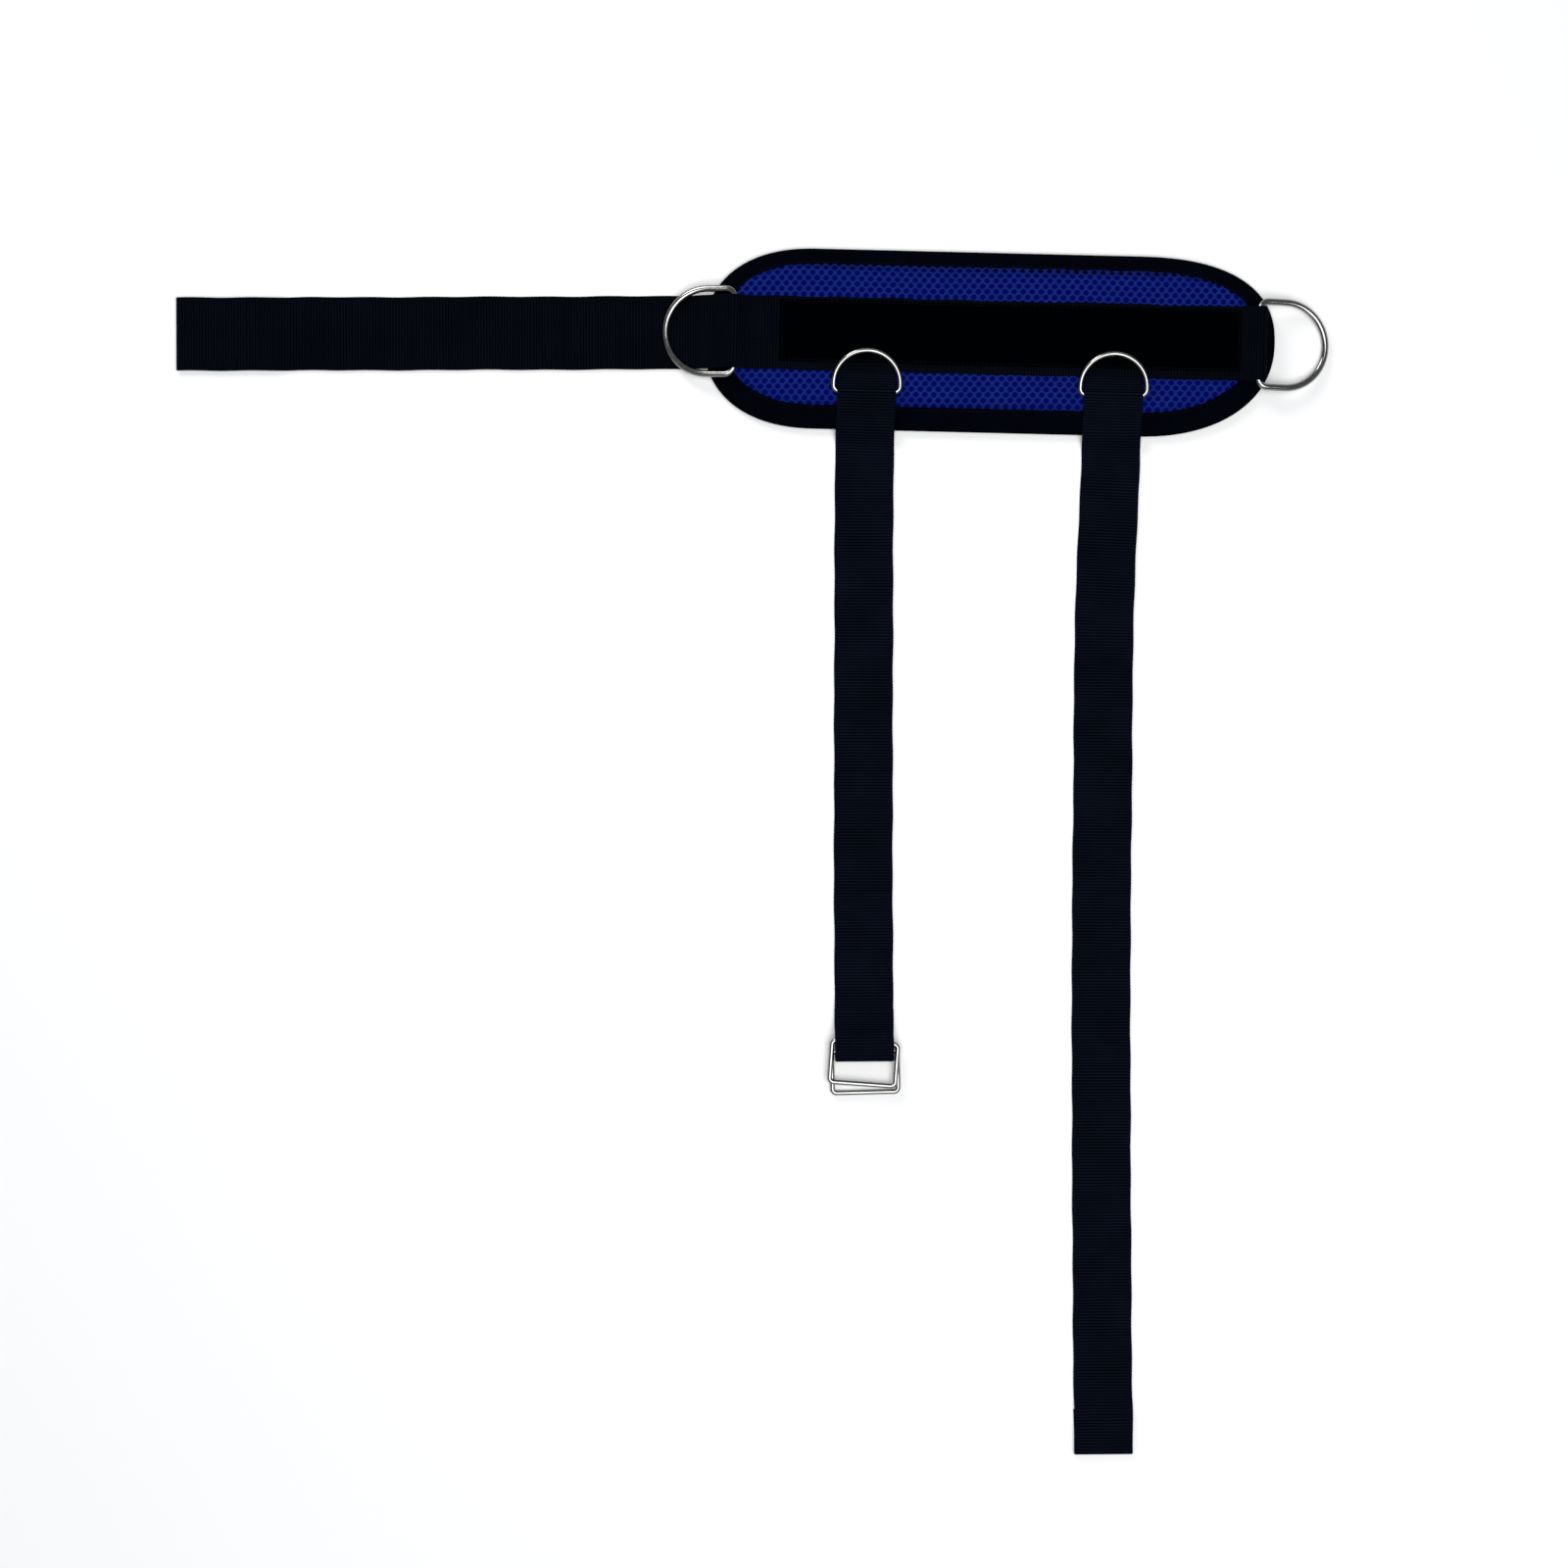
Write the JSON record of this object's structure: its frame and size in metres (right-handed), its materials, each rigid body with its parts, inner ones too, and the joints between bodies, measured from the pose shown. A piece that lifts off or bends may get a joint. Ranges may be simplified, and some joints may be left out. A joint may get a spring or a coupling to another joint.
{
  "type": "gait belt",
  "caption": "Padded cuff with a hook-and-loop closing strap, D-rings, and two webbing lifting straps, one ending in rectangular rings",
  "frame": {"origin": "middle of the pad's underside, on the skin side", "axes": "+X along the pad away from the tail, +Y across the pad away from the lifting straps, +Z out of the pad's outer face"},
  "size_m": [0.7874, 0.8192, 0.0206],
  "materials": {
    "webbing": "ribbed woven polyester, matt",
    "binding": "woven tape, matt",
    "mesh": "knitted spacer mesh with oval holes",
    "lining": "brushed knit, matt",
    "foam": "open-cell foam",
    "pile": "looped pile",
    "hook": "moulded hooks on tape",
    "thread": "twisted polyester thread",
    "plated": "bright nickel plate on steel wire"
  },
  "bodies": {
    "cuff_left": {"lining_left": "lining", "foam_core_left": "foam", "mesh_face_left": "mesh", "edge_binding_left": "binding", "binding_seam_left": "thread", "main_strap_left": "webbing", "loop_strip_left": "pile", "big_ring_tack": "thread", "left_strap_root": "webbing"},
    "cuff_right": {"lining_right": "lining", "foam_core_right": "foam", "mesh_face_right": "mesh", "edge_binding_right": "binding", "binding_seam_right": "thread", "main_strap_right": "webbing", "loop_strip_right": "pile", "right_strap_root": "webbing"},
    "big_ring_left": {"big_d_ring_left": "plated"},
    "big_ring_right": {"big_d_ring_right": "plated"},
    "small_ring_left": {"small_d_ring_left": "plated"},
    "small_ring_right": {"small_d_ring_right": "plated"},
    "tail_1": {"tail_webbing_1": "webbing"},
    "tail_2": {"tail_webbing_2": "webbing"},
    "tail_3": {"tail_webbing_3": "webbing"},
    "tail_4": {"tail_webbing_4": "webbing", "hook_strip": "hook"},
    "left_strap_1": {"left_strap_webbing_1": "webbing"},
    "left_strap_2": {"left_strap_webbing_2": "webbing"},
    "left_strap_3": {"left_strap_webbing_3": "webbing"},
    "left_strap_4": {"left_strap_webbing_4": "webbing", "end_loop_seam_upper": "thread", "end_loop_seam_lower": "thread"},
    "right_strap_1": {"right_strap_webbing_1": "webbing"},
    "right_strap_2": {"right_strap_webbing_2": "webbing"},
    "right_strap_3": {"right_strap_webbing_3": "webbing"},
    "right_strap_4": {"right_strap_webbing_4": "webbing"},
    "right_strap_5": {"right_strap_webbing_5": "webbing"},
    "right_strap_6": {"right_strap_webbing_6": "webbing", "hem_seam_upper": "thread", "hem_seam_lower": "thread"},
    "slide_front": {"slide_ring_front": "plated"},
    "slide_rear": {"slide_ring_rear": "plated"}
  },
  "joints": [
    {"name": "cuff_flex", "type": "hinge", "parent": "cuff_left", "child": "cuff_right", "pos_m": [0.003, 0, 0], "axis": [0, 1, 0], "range_deg": [0, 60]},
    {"name": "big_ring_left_swing", "type": "hinge", "parent": "cuff_left", "child": "big_ring_left", "pos_m": [-0.1739, 0.0025, 0.0118], "axis": [0, 1, 0], "range_deg": [0, 170]},
    {"name": "big_ring_right_swing", "type": "hinge", "parent": "cuff_right", "child": "big_ring_right", "pos_m": [0.1829, 0.0025, 0.013], "axis": [0, -1, 0], "range_deg": [-12, 170]},
    {"name": "small_ring_left_swing", "type": "hinge", "parent": "cuff_left", "child": "small_ring_left", "pos_m": [-0.083, -0.0362, 0.0117], "axis": [1, 0, 0], "range_deg": [0, 160]},
    {"name": "small_ring_right_swing", "type": "hinge", "parent": "cuff_right", "child": "small_ring_right", "pos_m": [0.0848, -0.0345, 0.0117], "axis": [1, 0, 0], "range_deg": [0, 160]},
    {"name": "tail_bend_1", "type": "hinge", "parent": "cuff_left", "child": "tail_1", "pos_m": [-0.232, 0.00147, 0.00075], "axis": [-0.0277, 0.9996, 0], "range_deg": [-60, 60]},
    {"name": "tail_bend_2", "type": "hinge", "parent": "tail_1", "child": "tail_2", "pos_m": [-0.313, -0.00078, 0.00075], "axis": [-0.0277, 0.9996, 0], "range_deg": [-60, 60]},
    {"name": "tail_bend_3", "type": "hinge", "parent": "tail_2", "child": "tail_3", "pos_m": [-0.394, -0.00302, 0.00075], "axis": [-0.0277, 0.9996, 0], "range_deg": [-60, 60]},
    {"name": "tail_bend_4", "type": "hinge", "parent": "tail_3", "child": "tail_4", "pos_m": [-0.475, -0.00527, 0.00075], "axis": [-0.0277, 0.9996, 0], "range_deg": [-60, 60]},
    {"name": "left_strap_bend_1", "type": "hinge", "parent": "cuff_left", "child": "left_strap_1", "pos_m": [-0.0833, -0.077, 0.00075], "axis": [-0.9998, -0.0211, 0], "range_deg": [-60, 60]},
    {"name": "left_strap_bend_2", "type": "hinge", "parent": "left_strap_1", "child": "left_strap_2", "pos_m": [-0.0811, -0.181, 0.00075], "axis": [-0.9998, -0.0221, 0], "range_deg": [-60, 60]},
    {"name": "left_strap_bend_3", "type": "hinge", "parent": "left_strap_2", "child": "left_strap_3", "pos_m": [-0.0788, -0.285, 0.00075], "axis": [-0.9997, -0.024, 0], "range_deg": [-60, 60]},
    {"name": "left_strap_bend_4", "type": "hinge", "parent": "left_strap_3", "child": "left_strap_4", "pos_m": [-0.0763, -0.389, 0.00075], "axis": [-0.9995, -0.0309, 0], "range_deg": [-60, 60]},
    {"name": "right_strap_bend_1", "type": "hinge", "parent": "cuff_right", "child": "right_strap_1", "pos_m": [0.0852, -0.077, 0.00075], "axis": [-0.9999, 0.0168, 0], "range_deg": [-45, 45]},
    {"name": "right_strap_bend_2", "type": "hinge", "parent": "right_strap_1", "child": "right_strap_2", "pos_m": [0.0833, -0.19, 0.00075], "axis": [-0.9999, -0.0168, 0], "range_deg": [-45, 45]},
    {"name": "right_strap_bend_3", "type": "hinge", "parent": "right_strap_2", "child": "right_strap_3", "pos_m": [0.0852, -0.303, 0.00075], "axis": [-0.9999, -0.015, 0], "range_deg": [-45, 45]},
    {"name": "right_strap_bend_4", "type": "hinge", "parent": "right_strap_3", "child": "right_strap_4", "pos_m": [0.0869, -0.416, 0.00075], "axis": [-0.9997, -0.0254, 0], "range_deg": [-45, 45]},
    {"name": "right_strap_bend_5", "type": "hinge", "parent": "right_strap_4", "child": "right_strap_5", "pos_m": [0.0898, -0.53, 0.00075], "axis": [-0.9996, -0.0292, 0], "range_deg": [-45, 45]},
    {"name": "right_strap_bend_6", "type": "hinge", "parent": "right_strap_5", "child": "right_strap_6", "pos_m": [0.0931, -0.643, 0.00075], "axis": [-0.9995, -0.0324, 0], "range_deg": [-45, 45]},
    {"name": "slide_ring_front_swing", "type": "hinge", "parent": "left_strap_4", "child": "slide_front", "pos_m": [-0.07301, -0.47919, 0.0075], "axis": [-0.9989, 0.0476, 0], "range_deg": [0, 90]},
    {"name": "slide_ring_rear_swing", "type": "hinge", "parent": "left_strap_4", "child": "slide_rear", "pos_m": [-0.07333, -0.4852, 0.00355], "axis": [-0.9987, -0.0501, 0], "range_deg": [0, 90]}
  ],
  "couplings": [
    {"joint": "slide_ring_rear_swing", "follows": "slide_ring_front_swing", "ratio": 1}
  ]
}
